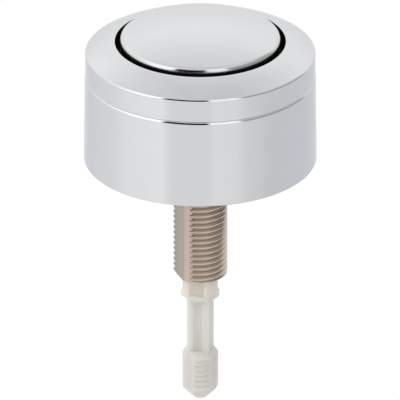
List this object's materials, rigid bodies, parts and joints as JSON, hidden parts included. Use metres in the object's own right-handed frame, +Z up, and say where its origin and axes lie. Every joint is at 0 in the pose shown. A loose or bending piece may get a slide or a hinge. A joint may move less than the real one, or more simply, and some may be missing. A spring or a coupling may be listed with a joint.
{
  "type": "push button cistern actuator",
  "caption": "Round chrome push button actuator for a cistern lid: domed button in a crowned bezel, cup housing, flatted threaded stem and a slotted push rod below.",
  "frame": {"origin": "centre of the face that sits on the cistern lid, on the stem's axis", "axes": "+Z up along the button's axis, away from the lid; -Y square to the flat on the stem"},
  "size_m": [0.06, 0.06, 0.1059],
  "materials": {
    "chrome": "bright chrome plate on die-cast zinc",
    "nickelled_brass": "satin nickel plate over cut thread",
    "natural_nylon": "moulded, uncoloured",
    "black_plastic": "moulded, fine grain",
    "black_rubber": "moulded",
    "foam_rubber": "closed-cell foam, cut",
    "spring_steel": "drawn wire and pressed strip"
  },
  "bodies": {
    "housing": {"housing": "chrome", "bezel_ring": "chrome", "bezel_seal": "black_rubber", "threaded_stem": "nickelled_brass", "stem_seal": "black_rubber", "lock_washer": "spring_steel", "stem_nut": "nickelled_brass", "base_gasket": "foam_rubber", "guide_bush": "natural_nylon", "return_spring": "spring_steel"},
    "button": {"button_cap": "chrome", "button_carrier": "black_plastic", "stop_buffer": "black_rubber", "push_rod": "natural_nylon", "rod_nut": "natural_nylon"}
  },
  "joints": [
    {"name": "button_press", "type": "slide", "parent": "housing", "child": "button", "axis": [0, 0, -1], "range_m": [0, 0.008], "stiffness_N_per_m": 600, "springref_m": -0.008, "deforming": ["return_spring"]}
  ]
}
